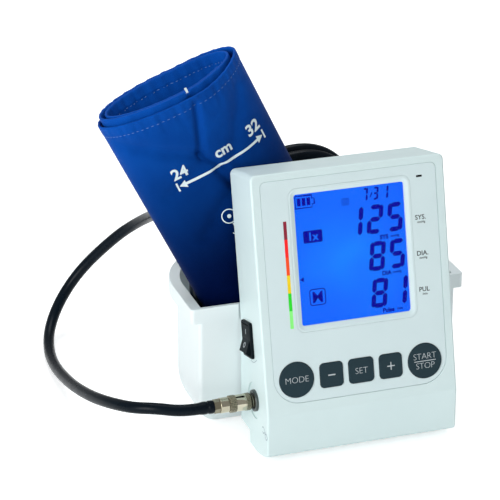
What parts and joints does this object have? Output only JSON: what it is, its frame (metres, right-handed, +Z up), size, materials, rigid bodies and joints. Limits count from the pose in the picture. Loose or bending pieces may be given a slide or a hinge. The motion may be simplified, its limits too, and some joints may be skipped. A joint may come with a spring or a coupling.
{
  "type": "blood pressure monitor",
  "caption": "Desk blood pressure monitor with a leaning console, backlit screen, push keys, a side power switch, a coiled air hose and an upper-arm cuff stored in a rear basket.",
  "frame": {"origin": "on the table, under the middle of the console's width and of the basket's depth", "axes": "+X to the right as seen by the user, +Y away from the user, +Z up"},
  "size_m": [0.28, 0.2743, 0.2686],
  "materials": {
    "housing_white": "satin moulded ABS",
    "plate_white": "smooth moulded ABS",
    "lens_clear": "clear acrylic",
    "window_clear": "clear acrylic",
    "screen_blue": "liquid crystal cell, lit from behind",
    "light_guide": "clear acrylic light guide",
    "black_plastic": "moulded black",
    "board_green": "solder mask on fibreglass",
    "silicone_grey": "silicone rubber",
    "key_slate": "fine satin with pad-printed legends",
    "steel": "zinc plated",
    "rubber_black": "matte",
    "nickel": "nickel plated brass",
    "inner_white": "moulded",
    "cell_wrap": "printed sleeve",
    "cuff_nylon": "coated nylon weave",
    "hose_black": "smooth extruded rubber"
  },
  "bodies": {
    "console": {"front_housing": "housing_white", "rear_housing": "housing_white", "face_plate": "plate_white", "indicator_lens": "lens_clear", "display_bezel": "plate_white", "display_window": "window_clear", "lcd_glass": "screen_blue", "backlight": "light_guide", "lcd_carrier": "black_plastic", "main_board": "board_green", "key_mat": "silicone_grey", "buzzer": "black_plastic", "pressure_sensor": "black_plastic", "board_screws": "steel", "housing_screws": "steel", "rubber_feet": "rubber_black", "switch_body": "black_plastic", "rocker_pin": "steel", "air_port": "nickel", "port_seal": "rubber_black", "port_nut": "nickel", "coupling_body": "nickel", "coupling_nut": "nickel", "hose_crimp": "hose_black", "pump_motor": "steel", "pump_head": "inner_white", "pump_cradle": "silicone_grey", "exhaust_valve": "steel", "air_manifold": "inner_white", "air_lines": "silicone_grey", "batteries": "cell_wrap", "battery_contacts": "steel", "dc_jack": "black_plastic", "cuff_basket": "housing_white", "basket_screws": "steel", "cuff": "cuff_nylon", "cuff_bladder": "rubber_black", "cuff_inlet": "rubber_black", "air_hose": "hose_black", "hose_coil": "hose_black", "hose_tail": "hose_black"},
    "mode_key": {"mode_button": "key_slate"},
    "minus_key": {"minus_button": "key_slate"},
    "set_key": {"set_button": "key_slate"},
    "plus_key": {"plus_button": "key_slate"},
    "start_stop_key": {"start_stop_button": "key_slate"},
    "rocker": {"power_rocker": "black_plastic"},
    "door": {"battery_door": "housing_white"},
    "sleeve": {"coupling_sleeve": "nickel"}
  },
  "joints": [
    {"name": "mode_press", "type": "slide", "parent": "console", "child": "mode_key", "axis": [0, 0.9731, -0.2306], "range_m": [0, 0.0008], "stiffness_N_per_m": 600},
    {"name": "minus_press", "type": "slide", "parent": "console", "child": "minus_key", "axis": [0, 0.9731, -0.2306], "range_m": [0, 0.0008], "stiffness_N_per_m": 600},
    {"name": "set_press", "type": "slide", "parent": "console", "child": "set_key", "axis": [0, 0.9731, -0.2306], "range_m": [0, 0.0008], "stiffness_N_per_m": 600},
    {"name": "plus_press", "type": "slide", "parent": "console", "child": "plus_key", "axis": [0, 0.9731, -0.2306], "range_m": [0, 0.0008], "stiffness_N_per_m": 600},
    {"name": "start_stop_press", "type": "slide", "parent": "console", "child": "start_stop_key", "axis": [0, 0.9731, -0.2306], "range_m": [0, 0.0008], "stiffness_N_per_m": 600},
    {"name": "power_rock", "type": "hinge", "parent": "console", "child": "rocker", "pos_m": [-0.07, -0.07765, 0.08177], "axis": [0, -0.9731, 0.2306], "range_deg": [0, 20]},
    {"name": "door_slide", "type": "slide", "parent": "console", "child": "door", "axis": [0, 0.2306, 0.9731], "range_m": [0, 0.008]},
    {"name": "sleeve_turn", "type": "hinge", "parent": "console", "child": "sleeve", "pos_m": [-0.0818, -0.08866, 0.03895], "axis": [-1, 0, 0], "range_deg": [0, 60]}
  ]
}
